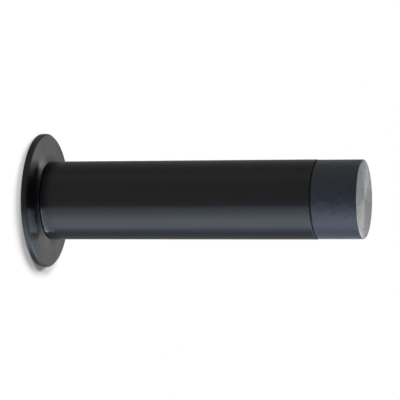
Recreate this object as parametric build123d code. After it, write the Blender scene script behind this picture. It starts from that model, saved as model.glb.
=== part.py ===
from build123d import *
from math import radians, tan
import os

os.makedirs("parts", exist_ok=True)

# Cylindrical door stop for a wall, in millimetres with +Z up
# The wall is the plane X = 0 and the post stands out of it along +X

# Rose: the turned disc against the wall
rose_diameter = 34.2
rose_thickness = 1.5
rose_edge_break = 0.4
seat_height = 0.75  # rise of the coved seat that lifts the post off the disc
seat_spread = 2.9  # how far the cove's foot lies outside the post
rose_hole_break = 0.3

# Post: the round bar
post_diameter = 20.0
post_length = 70.0
post_base_break = 0.35
post_end_break = 0.1
tap_run_out = 3.0  # thread left beyond the bolt's end
tap_countersink = 0.5
drill_point_angle = 118.0

# Hanger bolt: machine thread in the post, wood thread in the wall
bolt_diameter = 6.0
bolt_engagement = 18.0  # machine thread inside the post
bolt_end_break = 0.8
bolt_shank_diameter = 5.2
bolt_shank_inset = 1.5  # plain shank that enters the wall
bolt_wood_length = 27.5
bolt_point_length = 6.0
bolt_tip_diameter = 0.8

# Buffer: the moulded rubber tip with its snap-in stem
buffer_length = 11.8
buffer_face_radius = 0.4
buffer_back_break = 0.45
stem_diameter = 8.8
stem_length = 10.0
stem_tip_diameter = 7.6
bead_diameter = 10.0
bead_land = 1.2
bead_ramp = 0.6
bead_lead_in = 3.0

# Fits, each on the radius
buffer_step = 0.1  # how far the rubber stands back from the post's surface
rose_hole_clearance = 0.3  # bolt thread through the rose
thread_clearance = 0.05  # bolt thread in the tapped hole
stem_clearance = 0.05  # rubber stem in its socket

# Stations along the axis
post_base = rose_thickness + seat_height
seam = post_base + post_length
tip = seam + buffer_length


def turned(*outline):
    # a closed half outline in X and radius, turned about the axis
    return revolve(make_face(outline), axis=Axis.X)


def rims(part, station, diameter):
    # the round edges of one diameter that lie at one station on the axis
    circles = part.edges().filter_by(GeomType.CIRCLE)
    return [
        edge
        for edge in circles
        if abs(edge.arc_center.X - station) < 1e-4 and abs(2 * edge.radius - diameter) < 1e-4
    ]


def stem_outline(clearance):
    # the stem from the seam inwards with its bead, or with a clearance the socket that takes it
    neck = stem_diameter / 2 + clearance
    bead = bead_diameter / 2 + clearance
    end = seam - stem_length - clearance
    land_end = seam - stem_length + bead_lead_in - clearance
    land_start = land_end + bead_land + 2 * clearance
    return Polyline(
        (seam, 0),
        (seam, neck),
        (land_start + bead_ramp, neck),
        (land_start, bead),
        (land_end, bead),
        (end, stem_tip_diameter / 2 + clearance),
        (end, 0),
        close=True,
    )


# Rose: the cove is an arc that leaves the disc's face smoothly and rises to the post's own radius
rose_hole_diameter = bolt_diameter + 2 * rose_hole_clearance
cove_foot = (rose_thickness, post_diameter / 2 + seat_spread)
cove_top = (post_base, post_diameter / 2)
rose = turned(
    Polyline(
        cove_top,
        (post_base, rose_hole_diameter / 2),
        (0, rose_hole_diameter / 2),
        (0, rose_diameter / 2),
        (rose_thickness, rose_diameter / 2),
        cove_foot,
    ),
    TangentArc(cove_foot, cove_top, tangent=(0, -1)),
)
rose = chamfer(rims(rose, rose_thickness, rose_diameter), rose_edge_break)
rose = chamfer(rims(rose, 0, rose_hole_diameter), rose_hole_break)

# Post: a plain bar, drilled and tapped at the wall end, bored with an undercut at the free end
tap_diameter = bolt_diameter + 2 * thread_clearance
tap_end = post_base + bolt_engagement + tap_run_out
drill_tip = tap_end + tap_diameter / 2 / tan(radians(drill_point_angle / 2))
bar = turned(
    Polyline(
        (post_base, 0),
        (post_base, post_diameter / 2),
        (seam, post_diameter / 2),
        (seam, 0),
        close=True,
    )
)
bar = chamfer(rims(bar, post_base, post_diameter), post_base_break)
bar = chamfer(rims(bar, seam, post_diameter), post_end_break)
tapped_hole = turned(
    Polyline(
        (post_base, 0),
        (post_base, tap_diameter / 2 + tap_countersink),
        (post_base + tap_countersink, tap_diameter / 2),
        (tap_end, tap_diameter / 2),
        (drill_tip, 0),
        close=True,
    )
)
socket = turned(stem_outline(stem_clearance))
post = bar - tapped_hole - socket

# Hanger bolt: plain outline of both threads, with the thinner shank between them where it passes the wall
bolt_end = post_base + bolt_engagement
wood_start = -bolt_shank_inset
wood_end = wood_start - bolt_wood_length
hanger_bolt = turned(
    Polyline(
        (bolt_end, 0),
        (bolt_end, bolt_diameter / 2 - bolt_end_break),
        (bolt_end - bolt_end_break, bolt_diameter / 2),
        (post_base, bolt_diameter / 2),
        (post_base, bolt_shank_diameter / 2),
        (wood_start, bolt_shank_diameter / 2),
        (wood_start, bolt_diameter / 2),
        (wood_end, bolt_diameter / 2),
        (wood_end - bolt_point_length, bolt_tip_diameter / 2),
        (wood_end - bolt_point_length, 0),
        close=True,
    )
)

# Buffer: the head meets the door with a flat face, and the stem's bead snaps into the post's undercut
buffer_diameter = post_diameter - 2 * buffer_step
head = turned(
    Polyline(
        (seam, 0),
        (seam, buffer_diameter / 2),
        (tip, buffer_diameter / 2),
        (tip, 0),
        close=True,
    )
)
head = fillet(rims(head, tip, buffer_diameter), buffer_face_radius)
head = chamfer(rims(head, seam, buffer_diameter), buffer_back_break)
stem = turned(stem_outline(0))
buffer = head + stem

export_step(rose, "parts/rose.step")
export_step(post, "parts/post.step")
export_step(hanger_bolt, "parts/hanger_bolt.step")
export_step(buffer, "parts/buffer.step")
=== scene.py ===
import math

import bmesh
import bpy
import numpy as np
from mathutils import Matrix, Quaternion, Vector


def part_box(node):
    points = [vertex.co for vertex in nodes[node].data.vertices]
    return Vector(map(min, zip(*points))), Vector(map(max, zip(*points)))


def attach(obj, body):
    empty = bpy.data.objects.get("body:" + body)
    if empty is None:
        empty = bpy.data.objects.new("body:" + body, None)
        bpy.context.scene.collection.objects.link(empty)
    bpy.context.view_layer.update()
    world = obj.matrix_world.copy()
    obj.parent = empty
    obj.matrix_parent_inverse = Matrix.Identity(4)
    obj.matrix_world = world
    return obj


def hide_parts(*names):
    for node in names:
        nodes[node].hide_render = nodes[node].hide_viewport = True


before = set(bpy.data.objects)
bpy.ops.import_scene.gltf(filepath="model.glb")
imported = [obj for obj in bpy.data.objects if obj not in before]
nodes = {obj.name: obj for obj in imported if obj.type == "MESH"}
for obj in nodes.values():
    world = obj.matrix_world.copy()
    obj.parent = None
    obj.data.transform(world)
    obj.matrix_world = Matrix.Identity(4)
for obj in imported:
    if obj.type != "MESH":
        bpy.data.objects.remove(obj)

mm = 0.001
scene = bpy.context.scene
scene.view_settings.view_transform = "Standard"
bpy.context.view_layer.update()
print("frame loaded:", ", ".join(sorted(nodes)))


class Wire:
    # one shader socket in its tree: arithmetic on it adds Math nodes, any other node comes from node()
    def __init__(self, tree, socket=None):
        self.tree = tree
        self.socket = socket

    def node(self, kind, settings=None, sockets=None, output=0):
        made = self.tree.nodes.new(kind)
        for key, value in (settings or {}).items():
            if key == "stops":
                self.setStops(made.color_ramp, value)
            else:
                setattr(made, key, value)
        for key, value in (sockets or {}).items():
            if isinstance(value, Wire):
                self.tree.links.new(value.socket, made.inputs[key])
            else:
                made.inputs[key].default_value = value
        return Wire(self.tree, made.outputs[output] if len(made.outputs) else None)

    def setStops(self, ramp, stops):
        while len(ramp.elements) < len(stops):
            ramp.elements.new(1.0)
        for element, (place, colour) in zip(ramp.elements, stops):
            element.position = place
            element.color = colour

    def math(self, operation, *others):
        values = dict(enumerate((self,) + others))
        return self.node("ShaderNodeMath", {"operation": operation}, values)

    def vector(self, operation, *others, output=0):
        values = dict(enumerate((self,) + others))
        return self.node("ShaderNodeVectorMath", {"operation": operation}, values, output)

    def scaled(self, amount):
        return self.node("ShaderNodeVectorMath", {"operation": "SCALE"}, {"Vector": self, "Scale": amount})

    def parts(self):
        split = self.node("ShaderNodeSeparateXYZ", None, {"Vector": self}).socket.node
        return [Wire(self.tree, output) for output in split.outputs]

    def step(self, low, high):
        # 0 below low, 1 above high and a smooth rise between
        settings = {"interpolation_type": "SMOOTHSTEP"}
        return self.node("ShaderNodeMapRange", settings, {"Value": self, "From Min": low, "From Max": high})

    def mix(self, dark, light):
        # this value runs from the dark colour at 0 to the light one at 1
        return self.node("ShaderNodeMix", {"data_type": "RGBA"}, {0: self, 6: dark, 7: light}, output=2)

    def __add__(self, other):
        return self.math("ADD", other)

    __radd__ = __add__

    def __sub__(self, other):
        return self.math("SUBTRACT", other)

    def __rsub__(self, other):
        return self.node("ShaderNodeMath", {"operation": "SUBTRACT"}, {0: other, 1: self})

    def __mul__(self, other):
        return self.math("MULTIPLY", other)

    __rmul__ = __mul__

    def __truediv__(self, other):
        return self.math("DIVIDE", other)


def newMaterial(name):
    # an empty material and the wire that its nodes start from
    material = bpy.data.materials.new(name)
    material.use_nodes = True
    material.node_tree.nodes.clear()
    return material, Wire(material.node_tree)


def dress(piece, material):
    # one material in place of those that the piece has
    piece.data.materials.clear()
    piece.data.materials.append(material)


# Turned surfaces

toolMarks = {
    "secondPitch": 0.618,  # the second wave's turns to one of the first
    "secondShift": 1.3,
}


def turnedPlace(start):
    # object coordinates in millimetres, and from them the distance along the axis, the distance from it
    # and the unit vector away from it
    place = start.node("ShaderNodeTexCoord", output="Object").scaled(1 / mm)
    along = place.parts()[0]
    across = place.vector("MULTIPLY", (0.0, 1.0, 1.0))
    radius = across.vector("LENGTH", output="Value")
    outwards = across.vector("NORMALIZE")
    return place, along, radius, outwards


def turnedNormal(start, along, radius, outwards, slope, pitch):
    # tool marks: the normal tips along the meridian by slope times two sine waves of the way along it,
    # and the meridian is the normal turned a quarter in the plane of axis and radius
    normal = start.node("ShaderNodeNewGeometry", output="Normal")
    towardsEnd = normal.parts()[0]
    awayFromAxis = normal.vector("DOT_PRODUCT", outwards, output="Value")
    axis = start.node("ShaderNodeCombineXYZ", None, {"X": 1.0, "Y": 0.0, "Z": 0.0})
    meridian = axis.scaled(awayFromAxis).vector("SUBTRACT", outwards.scaled(towardsEnd))
    way = (along + radius) * (2 * math.pi / pitch)
    secondWay = way * toolMarks["secondPitch"] + toolMarks["secondShift"]
    wave = way.math("SINE") + secondWay.math("SINE")
    return normal.vector("ADD", meridian.scaled(wave * slope)).vector("NORMALIZE")


def flatEnd(start, limits):
    # 1 where the surface faces along the axis and 0 elsewhere, with a smooth rise between the two limits
    return start.node("ShaderNodeNewGeometry", output="Normal").parts()[0].step(*limits)


def cloud(start, place, size, detail=2.0):
    # soft noise from 0 to 1 with spots of about that size in millimetres
    return start.node("ShaderNodeTexNoise", None, {"Vector": place, "Scale": 1 / size, "Detail": detail})


# Black metal

blackMetal = {
    "colour": (0.0006, 0.0006, 0.0007, 1.0),
    "colourLight": (0.0014, 0.0014, 0.0016, 1.0),
    "patchSize": 9.0,
    "speckSize": 0.35,
    "speckDetail": 3.0,
    "roughness": 0.16,
    "roughnessSpread": 0.05,
    "ior": 1.5,
    "ringPitch": 0.13,
    "barSlope": 0.06,
    "faceSlope": 0.20,
    "faceStart": (12.8, 13.2),  # radius at which the rose's cove ends and its flat face begins
    "faceFlat": (0.98, 0.999),
}


def blackMetalMaterial(name, hasFace):
    # satin black over turned metal: fine rings everywhere, deeper ones on the rose's flat face
    material, start = newMaterial(name)
    place, along, radius, outwards = turnedPlace(start)
    slope = blackMetal["barSlope"]
    if hasFace:
        onFace = radius.step(*blackMetal["faceStart"]) * flatEnd(start, blackMetal["faceFlat"])
        slope = slope + onFace * (blackMetal["faceSlope"] - blackMetal["barSlope"])
    patches = cloud(start, place, blackMetal["patchSize"])
    specks = cloud(start, place, blackMetal["speckSize"], blackMetal["speckDetail"])
    uneven = (patches + specks) / 2 - 0.5
    shader = start.node(
        "ShaderNodeBsdfPrincipled",
        None,
        {
            "Base Color": patches.mix(blackMetal["colour"], blackMetal["colourLight"]),
            "Roughness": uneven * blackMetal["roughnessSpread"] + blackMetal["roughness"],
            "Normal": turnedNormal(start, along, radius, outwards, slope, blackMetal["ringPitch"]),
            "IOR": blackMetal["ior"],
        },
    )
    start.node("ShaderNodeOutputMaterial", None, {"Surface": shader})
    return material


dress(nodes["post"], blackMetalMaterial("satinBlackBar", hasFace=False))
dress(nodes["rose"], blackMetalMaterial("satinBlackRose", hasFace=True))
print("black metal on the post and rose")


# Rubber

blackRubber = {
    "colour": (0.0095, 0.0140, 0.0230, 1.0),
    "colourLight": (0.0165, 0.0215, 0.0320, 1.0),
    "patchSize": 5.0,
    "patchShare": 0.6,  # the rest of the colour's change follows the grain
    "roughness": 0.36,
    "roughnessSpread": 0.10,
    "sheen": 0.15,
    "ior": 1.52,
    "ringPitch": 0.16,
    "sideSlope": 0.010,
    "faceSlope": 0.36,
    "faceFlat": (0.9, 0.99),
    "grainSize": 0.22,
    "grainDetail": 3.0,
    "grainDepth": 0.004,
    "waveSize": 1.8,
    "waveDetail": 1.0,
    "waveDepth": 0.16,
}


def rubberMaterial():
    # moulded black rubber: a fine grain and shallow waves all over,
    # and the mould's turning rings on the flat end
    material, start = newMaterial("mouldedRubber")
    place, along, radius, outwards = turnedPlace(start)
    flat = flatEnd(start, blackRubber["faceFlat"])
    slope = flat * (blackRubber["faceSlope"] - blackRubber["sideSlope"]) + blackRubber["sideSlope"]
    rings = turnedNormal(start, along, radius, outwards, slope, blackRubber["ringPitch"])
    grain = cloud(start, place, blackRubber["grainSize"], blackRubber["grainDetail"])
    waves = cloud(start, place, blackRubber["waveSize"], blackRubber["waveDetail"])
    relief = grain * blackRubber["grainDepth"] + waves * blackRubber["waveDepth"]
    normal = start.node("ShaderNodeBump", None, {"Distance": mm, "Height": relief, "Normal": rings})
    patches = cloud(start, place, blackRubber["patchSize"])
    shade = patches * blackRubber["patchShare"] + grain * (1 - blackRubber["patchShare"])
    shader = start.node(
        "ShaderNodeBsdfPrincipled",
        None,
        {
            "Base Color": shade.mix(blackRubber["colour"], blackRubber["colourLight"]),
            "Roughness": (patches - 0.5) * blackRubber["roughnessSpread"] + blackRubber["roughness"],
            "Normal": normal,
            "IOR": blackRubber["ior"],
            "Sheen Weight": blackRubber["sheen"],
        },
    )
    start.node("ShaderNodeOutputMaterial", None, {"Surface": shader})
    return material


dress(nodes["buffer"], rubberMaterial())
print("rubber on the buffer")


# Hanger bolt with its two threads, in millimetres between the ends that the frame gives

hangerBolt = {
    "columns": 48,  # points round the axis; rows are counted for one turn of the helix
    "shankRows": 2,
    "shankRadius": 2.6,
    "shankInset": 1.5,  # plain shank that enters the wall
    "woodPitch": 2.6,
    "woodRows": 16,
    "woodRadius": 3.0,
    "woodRoot": 1.95,
    "woodCrestShare": 0.30,  # half the crest's foot as a share of the pitch
    "woodCrestRise": 2.0,  # the crest is full this many times sooner than the root is slender
    "pointLength": 6.0,
    "tipRadius": 0.4,
    "machinePitch": 1.0,
    "machineRows": 12,
    "machineRadius": 3.0,
    "machineRoot": 2.39,
    "machineCrest": 1.12,  # the V's height before its top is cut to 1
    "machineFlank": 2.5,  # fall of the V over one pitch
    "endBreak": 0.8,
    "sharpAngle": 35.0,
    "colour": (0.50, 0.51, 0.53, 1.0),
    "colourLight": (0.66, 0.66, 0.65, 1.0),
    "patchSize": 2.5,
    "patchDetail": 4.0,
    "roughness": 0.30,
    "roughnessSpread": 0.2,
    "markSlope": 0.03,
    "markPitch": 0.07,
}

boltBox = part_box("hanger_bolt")
boltTip, boltEnd = boltBox[0].x / mm, boltBox[1].x / mm
shankLow, shankHigh = -hangerBolt["shankInset"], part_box("post")[0].x / mm
welded = 1e-4 * mm  # points nearer than this are one


def helixTube(low, high, pitch, rowsPerTurn, radiusAt):
    # a tube from low to high whose rows climb one pitch a turn:
    # x = low + pitch * (turn + angle / full turn), held inside low and high,
    # and radiusAt(x, phase in the pitch) gives the distance from the axis
    columns = hangerBolt["columns"]
    turns = np.arange(-1.0, (high - low) / pitch + 1.0 / rowsPerTurn, 1.0 / rowsPerTurn)
    angle = np.linspace(0.0, 2 * np.pi, columns, endpoint=False)
    climb = turns[:, None] + angle[None, :] / (2 * np.pi)
    x = np.clip(low + pitch * climb, low, high)
    phase = (x - low) / pitch - angle[None, :] / (2 * np.pi)
    phase = phase - np.round(phase)
    r = radiusAt(x, phase)
    points = np.stack([x, r * np.cos(angle), r * np.sin(angle)], axis=-1)
    rows = len(turns)
    index = np.arange(rows * columns).reshape(rows, columns)
    corners = [index[:-1, :-1], index[:-1, 1:], index[1:, 1:], index[1:, :-1]]
    inner = np.stack(corners, axis=-1).reshape(-1, 4)
    first, last = index[rowsPerTurn:, 0], index[:-rowsPerTurn, -1]
    seam = np.stack([last[:-1], first[:-1], first[1:], last[1:]], axis=-1)
    return points.reshape(-1, 3), np.concatenate([inner, seam])


def woodRadiusAt(x, phase):
    # a thin crest on a slender root, both drawn to the tip's radius along the point
    # and sunk into the shank over the first pitch
    drawn = np.clip((x - boltTip) / hangerBolt["pointLength"], 0.0, 1.0)
    outer = hangerBolt["tipRadius"] + (hangerBolt["woodRadius"] - hangerBolt["tipRadius"]) * drawn
    root = hangerBolt["tipRadius"] + (hangerBolt["woodRoot"] - hangerBolt["tipRadius"]) * drawn
    start = np.clip((shankLow - x) / hangerBolt["woodPitch"], 0.0, 1.0)
    root = hangerBolt["shankRadius"] + (root - hangerBolt["shankRadius"]) * start
    crest = np.clip(1.0 - np.abs(phase) / hangerBolt["woodCrestShare"], 0.0, 1.0)
    rise = np.minimum(hangerBolt["woodCrestRise"] * start, 1.0)
    return root + np.maximum(outer - root, 0.0) * crest * rise


def machineRadiusAt(x, phase):
    # a plain V thread with a small flat on root and crest, sunk into the shank at one end
    # and broken at the other
    start = np.clip((x - shankHigh) / hangerBolt["machinePitch"], 0.0, 1.0)
    root = hangerBolt["shankRadius"] + (hangerBolt["machineRoot"] - hangerBolt["shankRadius"]) * start
    crest = np.clip(hangerBolt["machineCrest"] - hangerBolt["machineFlank"] * np.abs(phase), 0.0, 1.0)
    r = root + (hangerBolt["machineRadius"] - root) * crest * start
    return np.minimum(r, hangerBolt["machineRadius"] - hangerBolt["endBreak"] + (boltEnd - x))


def shankRadiusAt(x, phase):
    # the plain shank: one radius all along
    return np.full_like(x, hangerBolt["shankRadius"])


def threadedBolt():
    # the three tubes end to end, closed by a flat at the tip and one at the machine end
    wood = hangerBolt["woodPitch"], hangerBolt["woodRows"]
    shank = shankHigh - shankLow, hangerBolt["shankRows"]
    machine = hangerBolt["machinePitch"], hangerBolt["machineRows"]
    tubes = [
        helixTube(boltTip, shankLow, *wood, woodRadiusAt),
        helixTube(shankLow, shankHigh, *shank, shankRadiusAt),
        helixTube(shankHigh, boltEnd, *machine, machineRadiusAt),
    ]
    points, quads, offset = [], [], 0
    for tubePoints, tubeQuads in tubes:
        points.append(tubePoints)
        quads.append(tubeQuads + offset)
        offset += len(tubePoints)
    mesh = bpy.data.meshes.new("hanger_bolt_threaded")
    mesh.from_pydata(np.concatenate(points) * mm, [], np.concatenate(quads).tolist())
    shape = bmesh.new()
    shape.from_mesh(mesh)
    bmesh.ops.remove_doubles(shape, verts=shape.verts, dist=welded)
    bmesh.ops.dissolve_degenerate(shape, edges=shape.edges, dist=welded)
    openEdges = [edge for edge in shape.edges if edge.is_boundary]
    bmesh.ops.holes_fill(shape, edges=openEdges)
    bmesh.ops.recalc_face_normals(shape, faces=shape.faces)
    shape.to_mesh(mesh)
    shape.free()
    mesh.shade_smooth()
    mesh.set_sharp_from_angle(angle=math.radians(hangerBolt["sharpAngle"]))
    piece = bpy.data.objects.new("hanger_bolt_threaded", mesh)
    scene.collection.objects.link(piece)
    return piece


def zincMaterial():
    # zinc plate: a dull bright metal, clouded, with fine drawing marks round the axis
    material, start = newMaterial("zincPlate")
    place, along, radius, outwards = turnedPlace(start)
    patches = cloud(start, place, hangerBolt["patchSize"], hangerBolt["patchDetail"])
    marks = hangerBolt["markSlope"], hangerBolt["markPitch"]
    shader = start.node(
        "ShaderNodeBsdfPrincipled",
        None,
        {
            "Base Color": patches.mix(hangerBolt["colour"], hangerBolt["colourLight"]),
            "Metallic": 1.0,
            "Roughness": (patches - 0.5) * hangerBolt["roughnessSpread"] + hangerBolt["roughness"],
            "Normal": turnedNormal(start, along, radius, outwards, *marks),
        },
    )
    start.node("ShaderNodeOutputMaterial", None, {"Surface": shader})
    return material


bolt = threadedBolt()
dress(bolt, zincMaterial())
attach(bolt, "root")
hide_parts("hanger_bolt")
print("hanger bolt threaded:", len(bolt.data.polygons), "faces")


# Wall

wall = {
    "halfSize": 110.0,
    "behindRose": 0.05,
    "colour": (0.26, 0.24, 0.21, 1.0),
    "edgeOn": (0.84, 0.90),  # from 0 face on to 1 edge on: where the paint begins to clear and is clear
}


def wallMaterial():
    # plain paint that its own lamps bring to white, seen from the room only:
    # from inside the wall or along it, it is clear, so that the bolt and the back show
    material, start = newMaterial("whiteWall")
    paint = start.node("ShaderNodeBsdfDiffuse", None, {"Color": wall["colour"]})
    clear = start.node("ShaderNodeBsdfTransparent")
    behind = start.node("ShaderNodeNewGeometry", output="Backfacing")
    along = start.node("ShaderNodeLayerWeight", output="Facing").step(*wall["edgeOn"])
    shader = start.node("ShaderNodeMixShader", None, {0: behind.math("MAXIMUM", along), 1: paint, 2: clear})
    start.node("ShaderNodeOutputMaterial", None, {"Surface": shader})
    return material


def wallSheet():
    # a flat square round the rose, facing the room
    reach = np.array([[-1, -1], [1, -1], [1, 1], [-1, 1]]) * wall["halfSize"]
    points = np.column_stack([np.full(4, -wall["behindRose"]), reach]) * mm
    mesh = bpy.data.meshes.new("wall")
    mesh.from_pydata(points, [], [(0, 1, 2, 3)])
    sheet = bpy.data.objects.new("wall", mesh)
    scene.collection.objects.link(sheet)
    sheet.visible_glossy = False
    return sheet


wallPiece = wallSheet()
dress(wallPiece, wallMaterial())
print("wall behind the rose")


# Light

studio = {
    # light round the post's axis: degrees up from the near side, level, how blue it is, share of low light
    "ring": [
        (-180, 0.25, 0.0, 0.0),
        (-150, 0.25, 0.0, 0.0),
        (-128, 0.30, 0.3, 0.0),
        (-112, 0.42, 1.2, 0.1),
        (-102, 0.70, 1.2, 0.4),
        (-92, 1.30, 1.0, 0.8),
        (-82, 1.95, 0.6, 1.0),
        (-60, 2.08, 0.6, 1.0),
        (-37, 1.27, 0.8, 1.0),
        (-21, 0.82, 1.2, 1.0),
        (-18, 0.42, 0.3, 0.0),
        (0, 0.37, 0.0, 0.0),
        (45, 0.37, 0.0, 0.0),
        (68, 0.43, 0.0, 0.0),
        (95, 0.28, 0.0, 0.0),
        (150, 0.22, 0.0, 0.0),
        (180, 0.25, 0.0, 0.0),
    ],
    "blue": (0.82, 0.96, 1.20),
    # each glow and shade: its strength, and the shares of right, away and up between which it comes or goes
    "rightGlow": 2.5,
    "rightGlowRight": (0.05, 0.50),
    "rightGlowAway": (-0.2, 0.3),
    "rightGlowTilt": 1.0,
    "highGlow": 6.0,
    "highGlowRight": (0.40, 0.60),
    "highGlowAway": (0.2, 0.5),
    "highGlowFoot": (0.02, 0.15),
    "highGlowTop": (0.30, 0.50),
    "frontShade": 0.8,
    "frontShadeRight": (-0.2, 0.35),
    "frontShadeAway": (-0.5, -0.1),
    "lowShade": 0.5,
    "lowShadeRight": (0.40, 0.70),
}

# long soft box under the near side, for the post and rose
lowBox = {
    "at": (2.0, 0.0, 0.0),
    "from": (0.31, -0.39, -0.87),
    "distance": 900.0,
    "width": 200.0,
    "height": 1500.0,
    "level": 34.0,
    "colour": (0.85, 0.97, 1.16),
}

# small soft box beyond the far side of the tip, for the rubber
endBox = {
    "at": (84.0, 0.0, 0.0),
    "from": (0.58, 0.64, -0.30),
    "distance": 200.0,
    "width": 160.0,
    "height": 120.0,
    "level": 6.4,
    "colour": (1.0, 0.965, 0.88),
}

# low suns on the wall: degrees off it, degrees up from the far side, width in degrees, share of white given
wallSuns = [
    (15.4, 17.5, 18.0, 0.45),
    (23.0, 65.0, 18.0, 0.21),
    (22.0, 136.0, 18.0, 0.22),
]


def ringStop(degrees, level, blueness, share):
    # one stop of the ramp: the turn as a share of a full one, and level times white drawn towards the blue
    tint = [1 + (channel - 1) * blueness for channel in studio["blue"]]
    return (degrees + 180) / 360, tuple(level * channel for channel in tint) + (share,)


def studioWorld():
    # long lights parallel to the post: a ramp over the angle round its axis, more to the right behind,
    # less to the right in front, and white to the camera
    world = bpy.data.worlds.new("studio")
    world.use_nodes = True
    world.node_tree.nodes.clear()
    start = Wire(world.node_tree)
    right, away, up = start.node("ShaderNodeTexCoord", output="Generated").parts()
    turn = up.math("ARCTAN2", 0 - away) / (2 * math.pi) + 0.5
    stops = [ringStop(*stop) for stop in studio["ring"]]
    ring = start.node("ShaderNodeValToRGB", {"stops": stops}, {"Fac": turn})
    share = Wire(world.node_tree, ring.socket.node.outputs["Alpha"])
    behind = away.step(*studio["rightGlowAway"]) * (1 - up * studio["rightGlowTilt"])
    rightGlow = right.step(*studio["rightGlowRight"]) * behind * studio["rightGlow"]
    height = up.step(*studio["highGlowFoot"]) * (1 - up.step(*studio["highGlowTop"]))
    highGlow = right.step(*studio["highGlowRight"]) * height * away.step(*studio["highGlowAway"])
    front = 1 - away.step(*studio["frontShadeAway"])
    frontShade = right.step(*studio["frontShadeRight"]) * front * (1 - share) * studio["frontShade"]
    lowShade = right.step(*studio["lowShadeRight"]) * share * studio["lowShade"]
    level = (1 + rightGlow + highGlow * studio["highGlow"]) * (1 - frontShade - lowShade)
    light = start.node("ShaderNodeBackground", None, {"Color": ring.scaled(level)})
    white = start.node("ShaderNodeBackground", None, {"Color": (1.0, 1.0, 1.0, 1.0)})
    seen = start.node("ShaderNodeLightPath", output="Is Camera Ray")
    shader = start.node("ShaderNodeMixShader", None, {0: seen, 1: light, 2: white})
    start.node("ShaderNodeOutputWorld", None, {"Surface": shader})
    return world


def facing(towards):
    # turns a lamp to shine from that direction, with its width along the post
    z = Vector(towards).normalized()
    x = (Vector((1.0, 0.0, 0.0)) - z * z.x).normalized()
    return Matrix((x, z.cross(x), z)).transposed().to_quaternion()


def putLamp(name, lamp, towards):
    # a lamp in the scene, turned to shine from that direction
    made = bpy.data.objects.new(name, lamp)
    scene.collection.objects.link(made)
    made.rotation_mode = "QUATERNION"
    made.rotation_quaternion = facing(towards)
    return made


def group(name, pieces):
    # the pieces that a lamp lights, or that stand in its way
    made = bpy.data.collections.new(name)
    for piece in pieces:
        made.objects.link(piece)
    return made


def boxLamp(name, box, pieces):
    # a soft box that lights these pieces alone: power = level * pi * area
    lamp = bpy.data.lights.new(name, "AREA")
    lamp.shape = "RECTANGLE"
    lamp.size, lamp.size_y = box["width"] * mm, box["height"] * mm
    lamp.energy = box["level"] * math.pi * lamp.size * lamp.size_y
    lamp.color = box["colour"]
    made = putLamp(name, lamp, box["from"])
    made.location = (Vector(box["at"]) + Vector(box["from"]).normalized() * box["distance"]) * mm
    made.light_linking.receiver_collection = group(name + "Lights", pieces)
    made.visible_camera = False


def wallSun(height, turn, width, share):
    # a broad low sun on the wall alone, which only the rose stands in the way of:
    # strength = share * pi / (wall colour * sine of the height)
    height, turn = math.radians(height), math.radians(turn)
    red, green, blue = wall["colour"][:3]
    lamp = bpy.data.lights.new("wallSun", "SUN")
    lamp.energy = share * math.pi / (red * math.sin(height))
    lamp.color = (1.0, red / green, red / blue)
    lamp.angle = math.radians(width)
    made = putLamp("wallSun", lamp, (math.tan(height), math.cos(turn), math.sin(turn)))
    made.light_linking.receiver_collection = group("litBySun", [wallPiece])
    made.light_linking.blocker_collection = group("shadesWall", [nodes["rose"]])
    made.visible_glossy = False


scene.world = studioWorld()
boxLamp("lowBox", lowBox, [nodes["post"], nodes["rose"]])
boxLamp("endBox", endBox, [nodes["buffer"]])
for values in wallSuns:
    wallSun(*values)
print("studio light set")


# Camera

camera = {
    "target": (41.76, 0.0, -0.03),
    "azimuth": 15.53,
    "distance": 628.0,
    "roll": -0.217,
    "lens": 223.94,
    "sensor": 36.0,
    "clip": (10.0, 10000.0),
}


def makeCamera():
    # stands level with the post, to the right of straight ahead, and looks at the post's middle
    data = bpy.data.cameras.new("camera")
    data.lens = camera["lens"]
    data.sensor_width = camera["sensor"]
    data.clip_start, data.clip_end = [clip * mm for clip in camera["clip"]]
    eye = bpy.data.objects.new("camera", data)
    scene.collection.objects.link(eye)
    turn = math.radians(camera["azimuth"])
    back = Vector((math.sin(turn), -math.cos(turn), 0.0))
    eye.location = (Vector(camera["target"]) + back * camera["distance"]) * mm
    eye.rotation_mode = "QUATERNION"
    level = (-back).to_track_quat("-Z", "Y")
    eye.rotation_quaternion = level @ Quaternion((0.0, 0.0, 1.0), math.radians(camera["roll"]))
    return eye


scene.camera = makeCamera()
print("camera set")
